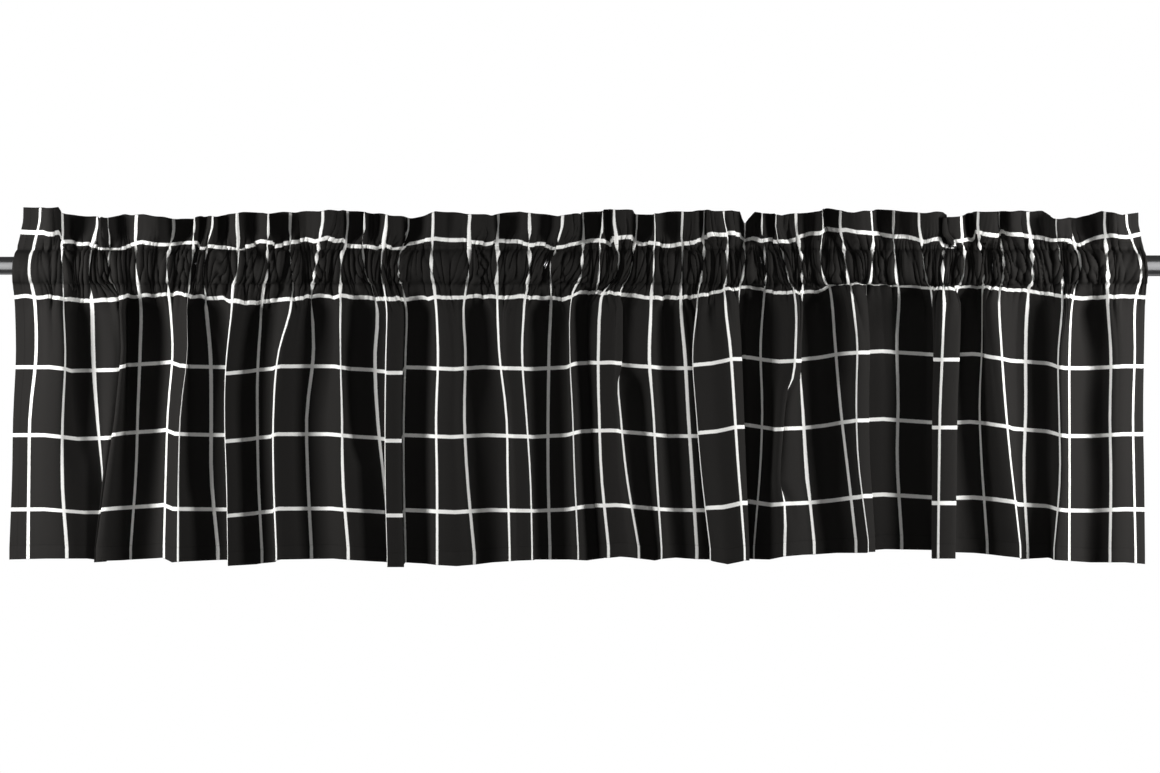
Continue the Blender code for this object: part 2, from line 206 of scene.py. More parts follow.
RISES = [
    Rise(36, 2, 0, 1),
    Rise(72, 2, 0, 2),
    Rise(108, -2, -4, 2),
    Rise(134, -2, -3, -2),
    Rise(156, 2, 2, 0),
    Rise(200, 4, 5.5, 3),
    Rise(206, 5, 1.5, -2),
    Rise(254, 0, 0, 1),
    Rise(260, -3, -7, -6),
    Rise(290, -5, -4, -4),
    Rise(318, 0, 1, 1),
    Rise(368, 3, 1, 2),
    Rise(423, 1, -3, -2),
    Rise(428, 0, -6, -7),
    Rise(446, 0, -6, -7),
    Rise(450, -1, 0, -2),
    Rise(500, 2, -2, -6),
    Rise(538, 2, 0, -2),
    Rise(593, 1, -2, 1),
    Rise(617, 0, 0, 1),
    Rise(644, 6, 4, 0),
    Rise(665, 6, 5, 4),
    Rise(697, 3, 2, 0),
    Rise(734, 0, -1, 3),
    Rise(757, 2, -1, 1),
    Rise(761, 3, 2, 0),
    Rise(781, 6, 4, -4),
    Rise(813, 13, 11, 2),
    Rise(848, 6, 6, 1),
    Rise(869, 6, 7, 6),
    Rise(895, 6, 10, 8),
    Rise(922, 17, 15, 8),
    Rise(959, 15, 17, 12),
    Rise(1014, 11, 13, 11),
    Rise(1018, 11, 8, 2),
    Rise(1028, 11, 8, 2),
    Rise(1032, 12, 13, 9),
    Rise(1052, 12, 14, 8),
    Rise(1075, 12, 12, 5),
    Rise(1099, 10, 7, 1),
    Rise(1128, 4, 4, 3),
    Rise(1151, 2, -1, 0),
    Rise(1179, 0, -1, -2),
    Rise(1213, 2, 1, -2),
    Rise(1238, 2, 1, -4),
]


class Edge(NamedTuple):
    """The heading at one place: its top edge's height over the rod, and its check row's rise."""

    x: float
    top: float
    row: float


HEADING_EDGE = [
    Edge(48, 62, 10),
    Edge(86, 61.5, 9),
    Edge(89, 55, 1),
    Edge(119, 52, 2),
    Edge(134, 51, -5),
    Edge(150, 53, -6),
    Edge(157, 54, -2),
    Edge(175, 54, 1),
    Edge(209, 49, 1),
    Edge(231, 52, 1),
    Edge(243, 52.5, -4),
    Edge(254, 53, -3),
    Edge(277, 57, -7),
    Edge(281, 57.5, -3),
    Edge(300, 57, 2),
    Edge(312, 54.5, 1),
    Edge(316, 55, -4),
    Edge(331, 57, 3),
    Edge(368, 59, 4),
    Edge(389, 58, 3),
    Edge(391, 57.5, -2),
    Edge(412, 56, -2),
    Edge(424, 55, -6),
    Edge(433, 54, -1),
    Edge(446, 52, -6),
    Edge(458, 50, -4),
    Edge(461, 50.5, 1),
    Edge(485, 58, 5),
    Edge(516, 56, 3.5),
    Edge(524, 55, 0.5),
    Edge(538, 53, 0),
    Edge(553, 56, 2.5),
    Edge(570, 58, 1),
    Edge(600, 55, -1),
    Edge(615, 53, -5),
    Edge(635, 56, 0),
    Edge(649, 57.5, 4),
    Edge(670, 59, 0),
    Edge(672, 59.5, 5),
    Edge(689, 59, 5),
    Edge(697, 54, 1),
    Edge(735, 57, -1),
    Edge(767, 59, 3.5),
    Edge(770, 59, 6),
    Edge(788, 59, 10),
    Edge(806, 57, 8),
    Edge(813, 44, 6),
    Edge(818, 57, 5),
    Edge(848, 54, 3),
    Edge(867, 55, 6),
    Edge(870, 55, 8),
    Edge(905, 61, 12),
    Edge(922, 57, 13),
    Edge(960, 59, 10),
    Edge(999, 56.5, 3.5),
    Edge(1019, 57, 4),
    Edge(1022, 55, -2),
    Edge(1034, 50, -3),
    Edge(1037, 52, 4),
    Edge(1055, 57, 5),
    Edge(1058, 57, 11),
    Edge(1083, 58, 8.5),
    Edge(1086, 58, 12),
    Edge(1112, 58, 8.5),
    Edge(1125, 58, 7),
    Edge(1139, 50, 6),
    Edge(1163, 51, 1),
    Edge(1168, 53, 3),
    Edge(1190, 58, 7),
    Edge(1212, 54, 8),
    Edge(1235, 57, 11),
]


class Ridges(NamedTuple):
    """One set of gathers of the pocket.

    per_check is how many ridges there are from one check line to the next, which
    mostly lie in the dips between them. height is their share of the cloth's spare
    length, fade is how soon they die out away from the pocket in millimetres, and
    lean is how many ridges they sway sideways.
    """

    per_check: float
    height: float
    fade: float
    lean: float
    seed: int


GATHERS = [
    Ridges(6.0, 2.20, 12.0, 1.6, 100),
    Ridges(3.0, 0.80, 26.0, 0.7, 200),
    Ridges(1.3, 0.50, 50.0, 0.3, 300),
]


class Crease(NamedTuple):
    """A soft crease of the skirt from x and down to another x and down, in millimetres."""

    x: float
    down: float
    to_x: float
    to_down: float
    width: float
    height: float


CREASES = [
    Crease(182, 16, 201, 40, 6, 4),
    Crease(238, 19, 257, 70, 3.5, 3.5),
    Crease(801, 13, 818, 24, 4, 4),
    Crease(818, 24, 815, 44, 5, 3),
    Crease(890, 11, 899, 30, 5, 3.5),
    Crease(899, 30, 882, 50, 5, 3.5),
]


class Calm(NamedTuple):
    """A stretch of the pocket, from start to end along the rod, that gathers less."""

    start: float
    end: float
    share: float


CALM = [
    Calm(20, 80, 0.18),
    Calm(448, 520, 0.45),
    Calm(974, 1002, 0.45),
    Calm(1198, 1260, 0.3),
]


@dataclass
class FlatCloth:
    """The panel as cut and sewn, in millimetres on the flat cloth.

    Distances down the cloth run from the heading's top edge. They are positive
    down the front, and negative down the part that is turned to the back.
    """

    pitch: float = 48.0
    left_margin: float = 22.0
    right_margin: float = 18.0
    heading: float = 38.0
    pocket: float = 51.0
    skirt: float = 293.0
    hem: float = 15.0
    line_width: float = 3.9
    rows: tuple[float, ...] = (-41.0, 32.0, 104.0, 177.0, 249.0, 328.0)

    @property
    def lower_seam(self) -> float:
        """Distance from the top edge down to the seam under the rod."""
        return self.heading + self.pocket

    @property
    def length(self) -> float:
        """Distance from the top edge down to the hem's edge."""
        return self.lower_seam + self.skirt

    @property
    def width(self) -> float:
        """Width of the whole panel before gathering."""
        return self.pitch * (len(LINES) - 3) + self.left_margin + self.right_margin

    @property
    def cut_length(self) -> float:
        """Length of the whole panel from its turned-down top to its turned-up hem."""
        return self.lower_seam + self.length + self.hem

    def lines(self) -> Array:
        """Return the flat places of the left edge, every check line and the right edge."""
        inner = self.pitch * np.arange(len(LINES) - 2)
        return np.concatenate([[-self.left_margin], inner, [inner[-1] + self.right_margin]])


@dataclass
class Hang:
    """How the cloth sits on the rod and folds, in millimetres."""

    top_seam_z: float = 17.0
    lower_seam_z: float = -19.5
    layer_gap: float = 1.2
    heading_gap: float = 0.4
    heading_depth: float = 1.8
    pocket_reach: float = 14.6
    arch: float = 0.97
    softness: float = 5.0
    heading_softness: float = 2.0
    fine_step: float = 2.0
    fold_start: float = 34.0
    heading_fold_start: float = 20.0
    pinch: float = 1.0
    calm_edge: float = 12.0
    seen_from: float = 2300.0
    axis_x: float = 638.0
    axis_z: float = -128.0
    row_sway: float = 1.5
    top_sway: float = 0.9
    hem_dip: float = 0.4
    sag: float = 1.6
    sag_length: float = 24.0
    sag_fade: float = 30.0
    sag_start: float = 10.0
    gather_lift: float = 0.3
    seam_fade: float = 14.0
    pucker_width: float = 2.0
    drags: int = 46
    seed: int = 11


def ease(share: Array | float) -> Array:
    """Go smoothly from 0 to 1 as share does, and stay there.

    Args:
        share: where to read the curve.

    Returns:
        The eased share.
    """
    held = np.clip(share, 0.0, 1.0)
    return held * held * (3.0 - 2.0 * held)


def smooth_through(at: Array, knots: Array, values: Array) -> Array:
    """Read a smooth curve through values at knots.

    Args:
        at: places to read.
        knots: rising places of the known values.
        values: what the curve is at each knot.

    Returns:
        The curve at each place in at.
    """
    slopes = np.gradient(values, knots)
    index = np.clip(np.searchsorted(knots, at) - 1, 0, len(knots) - 2)
    width = knots[index + 1] - knots[index]
    share = np.clip((at - knots[index]) / width, 0.0, 1.0)
    rest = 1.0 - share
    start = rest * rest * (1.0 + 2.0 * share)
    end = share * share * (3.0 - 2.0 * share)
    lead = share * rest * rest * width * slopes[index]
    tail = share * share * rest * width * slopes[index + 1]
    return start * values[index] + end * values[index + 1] + lead - tail


def soften(values: Array, reach_mm: float, step_mm: float) -> Array:
    """Round a curve's turns with a bell-shaped weight; its two ends stay put.

    Args:
        values: the curve, evenly spaced.
        reach_mm: how far the rounding reaches.
        step_mm: the spacing of the values.

    Returns:
        The rounded curve.
    """
    reach = max(int(3.0 * reach_mm / step_mm), 1)
    away = np.arange(-reach, reach + 1) * step_mm
    weight = np.exp(-0.5 * (away / reach_mm) ** 2)
    before = 2.0 * values[0] - values[reach:0:-1]
    after = 2.0 * values[-1] - values[-2 : -reach - 2 : -1]
    padded = np.concatenate([before, values, after])
    return np.convolve(padded, weight / weight.sum(), mode="valid")


def drift(at: Array, length: float, seed: int) -> Array:
    """Return smooth uneven values between -1 and 1 along the cloth.

    Args:
        at: flat places.
        length: the usual distance between a high and the next.
        seed: which of the many uneven curves to take.

    Returns:
        One value for each place.
    """
    chance = np.random.default_rng(seed)
    knots = np.arange(at.min() - 2.0 * length, at.max() + 2.0 * length, 0.5 * length)
    return smooth_through(at, knots, chance.uniform(-1.0, 1.0, len(knots)))


class Zone(Enum):
    """The stretches of the panel, from its hem's turned edge to its end behind the rod."""

    HEM_BACK = "hem back"
    SKIRT = "skirt"
    POCKET = "pocket"
    HEADING = "heading"
    HEADING_BACK = "heading back"
    POCKET_BACK = "pocket back"


@dataclass
class Row:
    """One row of points across the whole cloth, in millimetres."""

    zone: Zone
    down: float
    x: Array
    front: Array
    height: Array
    weave_down: Array


@dataclass
class Folds:
    """Works out how every row of the cloth hangs."""

    cloth: FlatCloth
    hang: Hang
    at: Array

    def line_x(self, level: float) -> Array:
        """Return the x of both edges and every line at a distance down the cloth."""
        held = np.array([min(max(level, LEVELS[0]), LEVELS[-1])])
        return np.array([smooth_through(held, LEVELS, np.array(line[:7]))[0] for line in LINES])

    def fold(self, level: float, fronts: Array, bows: Array, softness: float) -> tuple[Array, Array]:
        """Fold the cloth at one distance down it.

        Args:
            level: distance down the cloth.
            fronts: how far in front of the rod each edge and line lies.
            bows: how the cloth from each line to the next bows.
            softness: how far the folds' turns are rounded.

        Returns:
            The x and the front of every column.
        """
        flat = self.cloth.lines()
        x = self.line_x(level)
        half = 0.5 * self.cloth.pitch
        across = x[2:-1] - x[1:-2]
        forward = fronts[2:-1] - fronts[1:-2]
        chord = np.maximum(np.hypot(across, forward), 1.0)
        arch = self.hang.arch * np.sqrt(np.clip(half * half - 0.25 * chord * chord, 0.0, None))
        arch = arch * bows[1:-2]
        places = np.concatenate([flat, flat[1:-2] + half])
        xs = np.concatenate([x, x[1:-2] + 0.5 * across - arch * forward / chord])
        depths = np.concatenate([fronts, fronts[1:-2] + 0.5 * forward + arch * across / chord])
        places, xs, depths = self.tuck(level, places, xs, depths)
        order = np.argsort(places)
        step = self.hang.fine_step
        fine = np.arange(flat[0], flat[-1] + 0.5 * step, step)
        smooth_x = soften(smooth_through(fine, places[order], xs[order]), softness, step)
        smooth_front = soften(smooth_through(fine, places[order], depths[order]), softness, step)
        return np.interp(self.at, fine, smooth_x), np.interp(self.at, fine, smooth_front)

    def tuck(self, level: float, places: Array, xs: Array, depths: Array) -> tuple[Array, ...]:
        """Lay one fold over the next where a check line is hidden.

        Args:
            level: distance down the cloth.
            places: flat places of the fold's knots, the lines first and then the mid points.
            xs: the x of each knot.
            depths: how far to the front each knot lies.

        Returns:
            The places, x and depths with the tucks' own knots.
        """
        pitch = self.cloth.pitch
        along = TUCK_ALONG
        added = []
        for row in TUCKS:
            share = ease((level - row.start) / 30.0) * ease((row.stop - level) / 30.0)
            if share <= 0.0:
                continue
            edge = float(np.interp(level, LEVELS[2:], np.array(row[6:])))
            new_x = edge + row.side * TUCK_ACROSS
            new_front = row.front - np.array([row.drop, row.drop + 5.0, 8.5, 3.0, -0.5])
            centre = pitch * (row.place - 1.0)
            order = np.argsort(places)
            own = centre + row.side * along * pitch
            usual_x = np.interp(own, places[order], xs[order])
            usual_front = np.interp(own, places[order], depths[order])
            away = (places - centre) * row.side / pitch
            inside = np.flatnonzero((away > -0.51) & (away < 0.35))
            xs[inside] += share * (np.interp(away[inside], along, new_x) - xs[inside])
            depths[inside] += share * (np.interp(away[inside], along, new_front) - depths[inside])
            free = [spot for spot in range(len(own)) if np.abs(places - own[spot]).min() > 1.0]
            for spot in free:
                mixed_x = usual_x[spot] + share * (new_x[spot] - usual_x[spot])
                mixed_front = usual_front[spot] + share * (new_front[spot] - usual_front[spot])
                added.append((own[spot], mixed_x, mixed_front))
        if not added:
            return places, xs, depths
        more = np.array(added)
        return tuple(np.concatenate(pair) for pair in zip((places, xs, depths), more.T))

    def spare(self, x: Array, front: Array) -> Array:
        """Return the share of the cloth's length that its main folds leave for gathers."""
        step_x = np.gradient(x, self.at)
        step_front = np.gradient(front, self.at)
        left = np.clip(1.0 - step_x**2 - step_front**2, 0.0, 1.0)
        return np.sqrt(np.clip(soften(left, 6.0, self.at[1] - self.at[0]), 0.0, 1.0))

    def calm(self, x: Array) -> Array:
        """Return how fully the pocket gathers at each column, from 0 to 1."""
        share = np.ones(len(x))
        edge = self.hang.calm_edge
        for stretch in CALM:
            inside = ease((x - stretch.start) / edge) * ease((stretch.end - x) / edge)
            share = share * (1.0 - (1.0 - stretch.share) * inside)
        return share

    def patch(self, length: float, down: float, seed: int) -> Array:
        """Return smooth uneven values that change across the cloth and down it.

        Args:
            length: the usual flat distance between a high and the next.
            down: distance down the cloth.
            seed: which of the many uneven fields to take.

        Returns:
            One value for each column, mostly between -1 and 1.
        """
        turn = math.pi * down / self.cloth.pocket
        total = np.zeros(len(self.at))
        for layer in range(3):
            wave = math.cos(turn * (0.3 + 0.6 * layer) + seed + 2.0 * layer)
            total = total + drift(self.at, length, seed + layer) * wave
        return 0.8 * total

    def gathers(self, x: Array, front: Array, down: float) -> tuple[Array, Array]:
        """Work out the gathers, which take up the length left by the main folds.

        Args:
            x: where the main folds put each column.
            front: how far to the front they put it.
            down: distance down the cloth.

        Returns:
            How far each column moves sideways and to the front.
        """
        cloth = self.cloth
        outside = max(cloth.heading - down, down - cloth.lower_seam, 0.0)
        height = (down - cloth.heading) / cloth.pocket - 0.5
        spare = self.spare(x, front) * self.calm(x)
        step = np.gradient(x, self.at)
        sideways = np.zeros(len(x))
        forward = np.zeros(len(x))
        between = np.sin(math.pi * self.at / cloth.pitch) ** 2
        for ridges in GATHERS:
            length = cloth.pitch / ridges.per_check
            turns = self.at / length + 0.5 + 0.9 * between * drift(self.at, 3.0 * length, ridges.seed)
            lean = 2.0 * height * drift(self.at, 5.0 * length, ridges.seed + 10)
            curl = 0.25 * self.patch(5.0 * length, down, ridges.seed + 20)
            angle = math.tau * (turns + ridges.lean * (lean + curl))
            uneven = np.clip(0.75 + 0.4 * self.patch(3.0 * length, down, ridges.seed + 30), 0.1, 1.3)
            size = spare * uneven * ridges.height * math.exp(-outside / ridges.fade)
            reach = length / math.tau * size
            forward = forward + 1.5 * reach * (2.0 * np.abs(np.cos(0.5 * angle)) - 1.27)
            turned = np.sin(angle) - 0.35 * np.sin(2.0 * angle) + 0.1 * np.sin(3.0 * angle)
            sideways = sideways + self.hang.pinch * reach * step * turned
        return sideways, forward

    def hitch(self, x: Array, down: float) -> Array:
        """Return how far the skirt is hitched up at each column."""
        places = np.array([rise.x for rise in RISES], float)
        near, middle, hem = (
            np.array([rise[column] for rise in RISES], float) for column in (1, 2, 3)
        )
        share = down / self.cloth.skirt
        first = ease(share / 0.25)
        last = ease((share - 0.75) / 0.25)
        values = (1.0 - first) * near + (first - last) * middle + last * hem
        return np.interp(x, places, values) * ease(down / self.hang.seam_fade)

    def skirt_row(self, down: float) -> Row:
        """Return one row of the skirt, down millimetres under its seam."""
        hang = self.hang
        share = ease(down / hang.fold_start)
        low = float(np.clip((down - hang.fold_start) / (self.cloth.skirt - hang.fold_start), 0.0, 1.0))
        fronts = np.array([line.front + (line.hem_front - line.front) * low for line in LINES])
        bows = np.array([line.bow + (line.hem_bow - line.bow) * low for line in LINES])
        level = self.cloth.lower_seam + down
        x, front = self.fold(level, fronts * share, bows * share, hang.softness)
        sideways, forward = self.gathers(x, front, level)
        start = math.exp(-down / hang.seam_fade)
        begun = ease(down / hang.sag_start)
        sag = hang.sag * drift(self.at, hang.sag_length, hang.seed)
        sag = sag * math.exp(-down / hang.sag_fade) * begun
        lifted = self.hitch(self.line_middle(), down)
        height = hang.lower_seam_z - down + lifted + sag + hang.gather_lift * forward * begun
        front = front + forward + hang.layer_gap * start + self.creases(x, down)
        from_hem = down - (self.cloth.skirt - self.cloth.hem)
        pucker = 1.0 + 0.7 * drift(self.at, 12.0, hang.seed + 2)
        front = front - hang.hem_dip * pucker * math.exp(-((from_hem / hang.pucker_width) ** 2))
        weave = np.full(len(self.at), level)
        return Row(Zone.SKIRT, down, x + sideways, front, height, weave)

    def drag_lines(self) -> list[Crease]:
        """Return small uneven creases that run down from the seam under the rod."""
        chance = np.random.default_rng(self.hang.seed + 3)
        found = []
        for _ in range(self.hang.drags):
            x, slant = chance.uniform(60.0, 1220.0), chance.uniform(-14.0, 14.0)
            start, fall = chance.uniform(2.0, 8.0), chance.uniform(10.0, 42.0)
            width, height = chance.uniform(2.5, 5.0), chance.uniform(1.2, 3.0)
            found.append(Crease(x, start, x + slant, start + fall, width, height))
        return found

    def creases(self, x: Array, down: float) -> Array:
        """Return how far the skirt's creases stand to the front.

        Args:
            x: where the main folds put each column.
            down: distance down the skirt from its seam.

        Returns:
            How far each column moves to the front.
        """
        found = np.zeros(len(x))
        for crease in CREASES + self.drag_lines():
            across, fall = crease.to_x - crease.x, crease.to_down - crease.down
            along = ((x - crease.x) * across + (down - crease.down) * fall) / (across**2 + fall**2)
            share = np.clip(along, 0.0, 1.0)
            away = np.hypot(x - crease.x - share * across, down - crease.down - share * fall)
            found = found + crease.height * np.exp(-((away / crease.width) ** 2))
        return found

    def line_middle(self) -> Array:
        """Return the x of every column half way down, without its folds."""
        return np.interp(self.at, self.cloth.lines(), self.line_x(230.0))

    def hem_back_row(self, up: float, gap: float) -> Row:
        """Return one row of the hem's turned edge, up millimetres over the hem's edge."""
        row = self.skirt_row(self.cloth.skirt - up)
        away = np.gradient(row.x), np.gradient(row.front)
        length = np.maximum(np.hypot(*away), 1e-6)
        row.x = row.x + away[1] / length * gap
        row.front = row.front - away[0] / length * gap
        row.zone = Zone.HEM_BACK
        row.weave_down = np.full(len(self.at), self.cloth.length + up)
        return row

    def pocket_row(self, share: float, back: bool) -> Row:
        """Return one row of the pocket, share of the way from its lower to its top seam."""
        hang = self.hang
        down = self.cloth.lower_seam - self.cloth.pocket * share
        level = np.zeros(len(LINES))
        x, flat_front = self.fold(down, level, level, hang.softness)
        sideways, forward = self.gathers(x, flat_front, down)
        middle = 0.5 * (hang.top_seam_z + hang.lower_seam_z)
        half = 0.5 * (hang.top_seam_z - hang.lower_seam_z)
        reach = hang.pocket_reach
        radius = 0.5 * (half * half + reach * reach) / reach
        widest = math.asin(min(half / radius, 1.0))
        turn = (2.0 * share - 1.0) * widest
        bulge = math.sin(math.pi * share)
        tilt = 0.7 * turn * bulge
        out = reach - radius + radius * math.cos(turn) + hang.layer_gap
        if back:
            front = -out + forward * (1.0 - 2.0 * bulge)
        else:
            front = out + forward * math.cos(tilt)
        height = middle + radius * math.sin(turn) + forward * math.sin(tilt)
        weave = np.full(len(self.at), -down if back else down)
        if not back:
            weave = weave + self.row_rise() * ease((share - 0.1) / 0.8)
        zone = Zone.POCKET_BACK if back else Zone.POCKET
        return Row(zone, down, x + sideways, front, height, weave)

    def row_rise(self) -> Array:
        """Return how far the heading's check row lies above its usual place."""
        x = np.interp(self.at, self.cloth.lines(), self.line_x(12.0))
        rise = np.interp(x, [edge.x for edge in HEADING_EDGE], [edge.row for edge in HEADING_EDGE])
        return rise + self.hang.row_sway * drift(self.at, 34.0, self.hang.seed + 1) * self.calm(x)

    def heading_row(self, up: float, back: bool) -> Row:
        """Return one row of the heading, up millimetres over its seam."""
        hang = self.hang
        share = up / self.cloth.heading
        down = self.cloth.heading - up
        grown = float(ease(up / hang.heading_fold_start))
        fronts = np.array([line.head_front for line in LINES], float) * grown * hang.heading_depth
        bows = np.array([line.head_bow for line in LINES]) * grown
        x, front = self.fold(down, fronts, bows, hang.heading_softness)
        sideways, forward = self.gathers(x, front, down)
        x = x + sideways
        front = front + forward
        away = np.gradient(x), np.gradient(front)
        length = np.maximum(np.hypot(*away), 1e-6)
        gap = hang.layer_gap * (1.0 - share) + hang.heading_gap * math.sin(math.pi * share)
        side = -1.0 if back else 1.0
        flat_x = np.interp(self.at, self.cloth.lines(), self.line_x(12.0))
        tops = np.interp(
            flat_x, [edge.x for edge in HEADING_EDGE], [edge.top for edge in HEADING_EDGE]
        )
        tops = tops + hang.top_sway * drift(self.at, 26.0, hang.seed + 4) * self.calm(flat_x)
        height = hang.top_seam_z + (tops - hang.top_seam_z) * share
        turned = float(ease(up / 6.0))
        x = x - side * away[1] / length * gap * turned
        front = front + side * gap * (1.0 - turned + turned * away[0] / length)
        weave = np.full(len(self.at), -down if back else down)
        weave = weave + (0.0 if back else 1.0) * self.row_rise()
        return Row(Zone.HEADING_BACK if back else Zone.HEADING, down, x, front, height, weave)

    def rows(self) -> list[Row]:
        """Return every row of the cloth, from the hem's turned edge to its end behind the rod."""
        cloth = self.cloth
        found = [self.hem_back_row(cloth.hem, 0.9), self.hem_back_row(1.0, 0.7)]
        downs = np.concatenate(
            [
                cloth.skirt - np.array([0.0, 0.5, 3.0, 12.0, 15.0, 18.0]),
                np.linspace(cloth.skirt - 32.0, 120.0, 7),
                np.linspace(120.0, 30.0, 8)[1:],
                np.linspace(30.0, 0.0, 7)[1:],
            ]
        )
        found += [self.skirt_row(float(down)) for down in downs[:-1]]
        found += [self.pocket_row(float(share), False) for share in np.linspace(0.0, 1.0, 15)[:-1]]
        ups = np.append(np.linspace(0.0, cloth.heading - 1.0, 10), cloth.heading)
        found += [self.heading_row(float(up), False) for up in ups]
        found += [self.heading_row(float(up), True) for up in np.linspace(cloth.heading, 0.0, 4)[1:-1]]
        found += [self.pocket_row(float(share), True) for share in np.linspace(1.0, 0.0, 5)]
        return found

    def place(self, row: Row) -> Array:
        """Return a row's points in metres, moved from where they are seen to where they lie.

        The lines were measured in the picture as if all lay level with the rod.
        A fold in front of it is nearer to the eye, so it is drawn in a little.
        """
        near = (self.hang.seen_from - row.front) / self.hang.seen_from
        x = self.hang.axis_x + (row.x - self.hang.axis_x) * near
        z = self.hang.axis_z + (row.height - self.hang.axis_z) * near
        return np.stack([x, -row.front, z], axis=1) * MM


class NodeKit:
    """Short ways to add and join shader nodes in one tree."""

    def __init__(self, tree: bpy.types.NodeTree) -> None:
        """Keep the tree that nodes are added to."""
        self.tree = tree

    def add(self, kind: str, **values: object) -> bpy.types.Node:
        """Add a node and set its own values.

        Args:
            kind: Blender's name for the node.
            values: properties of the node by name.

        Returns:
            The new node.
        """
        node = self.tree.nodes.new(kind)
        for name, value in values.items():
            setattr(node, name, value)
        return node

    def math(self, operation: str, first: object, second: object = 0.0, third: object = 0.0) -> object:
        """Add a Math node.

        Args:
            operation: what the node works out.
            first: a socket or a number.
            second: a socket or a number.
            third: a socket or a number.

        Returns:
            The node's output socket.
        """
        node = self.add("ShaderNodeMath", operation=operation)
        for socket, value in zip(node.inputs, (first, second, third)):
            self.feed(socket, value)
        return node.outputs[0]

    def feed(self, socket: bpy.types.NodeSocket, value: object) -> None:
        """Join a socket to a value's socket, or set it to a number or colour."""
        if isinstance(value, bpy.types.NodeSocket):
            self.tree.links.new(value, socket)
        else:
            socket.default_value = value

    def mix(self, share: object, first: object, second: object) -> object:
        """Mix two colours and return the output socket."""
        node = self.add("ShaderNodeMix", data_type="RGBA")
        self.feed(node.inputs["Factor"], share)
        self.feed(node.inputs[6], first)
        self.feed(node.inputs[7], second)
        return node.outputs[2]


